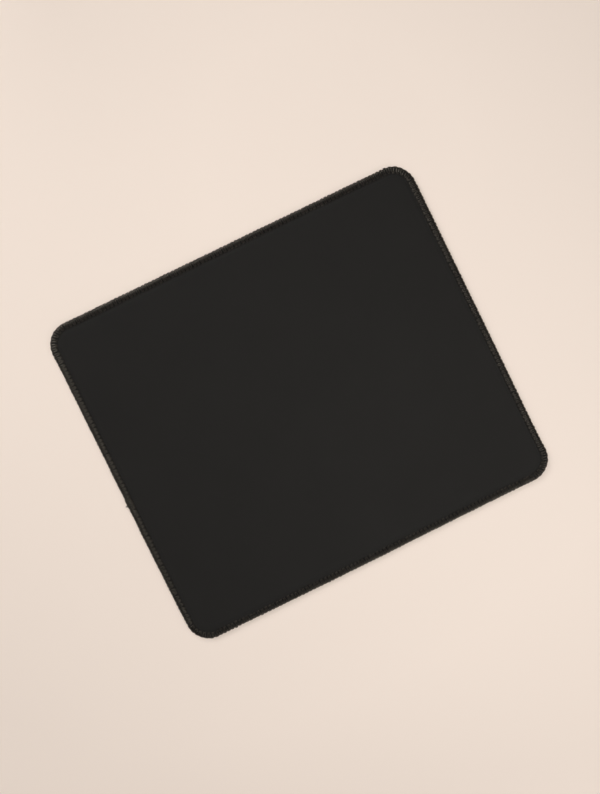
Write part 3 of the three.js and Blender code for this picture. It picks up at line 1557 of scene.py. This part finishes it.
@dataclass(frozen=True)
class DeskFinish:
    """A pale, matt desk top with painted light and shade, which takes on the backdrop's colour for the
    camera where no lamp reaches.
    """

    backdrop: Triple
    colour: Triple = (0.868, 0.742, 0.648)
    roughness: float = 0.9
    gloss_level: float = 0.2
    patch_size: float = 400.0
    patch_strength: float = 0.02
    # Painted light and shade: darker towards the window lamp's side, against its pool of light, and darker
    # away from the pad's +X, +Y side.
    painted_light_fades: tuple[Fade, ...] = (
        Fade((83.0, 125.0, 0.0), 84.0, 398.0, 1.013, 0.866),
        Fade((-29.0, 290.0, 0.0), 0.0, 472.0, 0.85, 1.15),
    )
    far_backdrop: Fade = Fade((0.0, 0.0, 0.0), 340.0, 620.0, 0.0, 1.0)

    def material(self) -> Material:
        """Makes the material."""
        bench = MaterialBench("pale_desk_top")
        patches = bench.patches(self.patch_size, self.patch_strength)
        seen = bench.add("LightPath", {}).outputs["Is Camera Ray"]
        far = bench.product(self.far_backdrop.tone(bench), seen)
        near = bench.sum("SUBTRACT", 1.0, far)
        # The lit colour takes the painted light and shade of the fades.
        tone = bench.product(patches, *(painted_light_fade.tone(bench) for painted_light_fade in self.painted_light_fades), near)
        return bench.finished({
            "Base Color": bench.scaled(self.colour, tone),
            "Roughness": self.roughness,
            "Specular IOR Level": self.gloss_level,
            "Emission Color": bench.scaled(self.backdrop, far),
            "Emission Strength": 1.0,
        })


@dataclass(frozen=True)
class Lamp:
    """A soft square lamp that faces the pad."""

    name: str
    direction: Triple
    light_share: float
    size: float
    distance: float
    shows_in_gloss: bool = True

    @property
    def power(self) -> float:
        """Watts that give the desk this lamp's share of an even light.

        Returns:
            The power, by the lamp's distance and slope, with what its width loses.
        """
        slope = self.direction[Z] / Vector(self.direction).length
        width_loss = 1 + (self.size / self.distance) ** 2 / 3
        return self.light_share * math.pi**2 * (self.distance * MM) ** 2 * width_loss / slope

    def build(self) -> None:
        """Hangs the lamp."""
        place = Vector(self.direction).normalized() * self.distance * MM
        bpy.ops.object.light_add(type="AREA", radius=self.size * MM, location=place)
        lamp = bpy.context.object
        lamp.name = self.name
        lamp.rotation_euler = (-place).to_track_quat("-Z", "Y").to_euler()
        lamp.data.shape = "SQUARE"
        lamp.data.size = self.size * MM
        lamp.data.energy = self.power
        lamp.visible_glossy = self.shows_in_gloss


@dataclass(frozen=True)
class Studio:
    """The desk, the light and the camera. The lamps and the room share the light out between them."""

    lamps: tuple[Lamp, ...] = (
        Lamp("ceiling", (0.03, 0.0, 1.0), 0.59, 900.0, 1500.0, shows_in_gloss=False),
        Lamp("low_window", (-1.0, 0.7, 0.8), 0.06, 400.0, 1100.0, shows_in_gloss=False),
        Lamp("window_side", (-0.36, 1.0, 0.9), 0.21, 350.0, 700.0),
        Lamp("room_side", (0.5, -1.0, 0.9), 0.11, 350.0, 680.0),
    )
    room_share: float = 0.03
    backdrop: Triple = (0.82, 0.702, 0.613)
    desk_size: float = 6000.0
    desk_drop: float = 0.05
    camera_place: Triple = (-20.64, 17.93, 688.94)
    camera_turn: Triple = (-0.3153, -2.141, -26.0610)
    lens: float = 50.0
    sensor: float = 36.0

    def build(self) -> None:
        """Makes the desk, the lamps, the room's light and the camera."""
        self._desk()
        for lamp in self.lamps:
            lamp.build()
        self._room()
        self._camera()

    def _desk(self) -> None:
        """Makes the pale desk."""
        bpy.ops.mesh.primitive_plane_add(size=self.desk_size * MM, location=(0, 0, -self.desk_drop * MM))
        desk = bpy.context.object
        desk.name = "desk"
        desk.data.materials.append(DeskFinish(self.backdrop).material())

    def _room(self) -> None:
        """Makes the even light of the room, and the pale wall that the camera sees in it."""
        world = bpy.data.worlds.new("room")
        world.use_nodes = True
        bench = NodeBench(world.node_tree)
        seen = bench.add("LightPath", {}).outputs["Is Camera Ray"]
        tones = {"Factor": seen, "A": (self.room_share,) * 3, "B": self.backdrop}
        colour = bench.add("Mix", {}, data_type="VECTOR")
        for socket in colour.inputs:
            if socket.enabled and socket.name in tones:
                bench.feed(socket, tones[socket.name])
        output = next(socket for socket in colour.outputs if socket.enabled)
        bench.feed(world.node_tree.nodes["Background"].inputs["Color"], output)
        bpy.context.scene.world = world

    def _camera(self) -> None:
        """Makes the camera, which looks down on the pad."""
        bpy.ops.object.camera_add(location=[value * MM for value in self.camera_place])
        camera = bpy.context.object
        camera.name = "overhead"
        camera.rotation_euler = [math.radians(value) for value in self.camera_turn]
        camera.data.lens = self.lens
        camera.data.sensor_width = self.sensor
        bpy.context.scene.camera = camera


@dataclass(frozen=True)
class Seam:
    """The three threads that are sewn round the edge.

    The line on which the loopers wrap the edge starts and ends a reach inside the needle line. They
    keep a margin from its ends, and each goes a little past the rim to lock with the other.
    """

    pad: PadShape
    yarn_thickness: float
    inner_reach: float = 0.5
    needle_margin: float = 0.5
    lock: float = 0.3

    def build(self) -> None:
        """Makes the threads, and the overlap where the seam runs over its own start."""
        section = self.pad.section
        level = replace(section, groove_top=section.pressed_top)
        wrap = EdgeWrap(level, self.yarn_thickness / 2, section.needle_inset + self.inner_reach)
        yarn = YarnFinish("black_looper_yarn", twist_length=3.2, strands=3.0).material()
        upper = LooperThread(
            self.pad,
            wrap,
            needle_place=self.needle_margin,
            rim_place=wrap.rim + self.lock,
            rim_at_half=True,
            rim_puff=0.02,
            seed=16203,
        )
        upper.build("upper_looper_loops", "upper_looper_thread", yarn)
        lower = LooperThread(
            self.pad,
            wrap,
            needle_place=wrap.length - self.needle_margin,
            rim_place=wrap.rim - self.lock,
            rim_at_half=False,
            rim_puff=-0.27,
            seed=47,
            rim_bulk=0.0,
            corner_fill=0.17,
        )
        lower.build("lower_looper_loops", "lower_looper_thread", yarn)
        overlap = replace(
            upper,
            rim_place=wrap.rim,
            rim_at_half=False,
            rim_puff=-0.1,
            seed=59,
            span=(-2.2, 0.3),
            lift=0.2,
        )
        overlap.build("seam_overlap_loops", "upper_looper_thread", yarn)
        needle_yarn = YarnFinish(
            "black_needle_yarn",
            twist_length=1.1,
            strands=3.0,
            fibre_size=0.06,
            colour=(0.011, 0.0098, 0.0085),
            roughness=0.6,
            gloss_level=0.3,
        )
        NeedleThread(self.pad).build(needle_yarn.material())
        cut_yarn = YarnFinish("black_cut_yarn", twist_length=2.4, strands=5.0, fibre_size=0.05)
        ThreadTail(self.pad).build(cut_yarn.material())


def main() -> None:
    """Builds the pad and its studio."""
    logging.basicConfig(level=logging.INFO, format="%(name)s %(message)s")
    bpy.context.scene.view_settings.view_transform = "Standard"
    yarn_thickness = 0.5
    pad = PadShape.read(yarn_thickness)
    FaceCloth(pad).build(ClothFinish().material())
    BondFilm(pad).build(FilmFinish().material())
    RubberBase(pad).build(RubberFinish().material())
    Seam(pad, yarn_thickness).build()
    Studio().build()


if __name__ == "__main__":
    main()
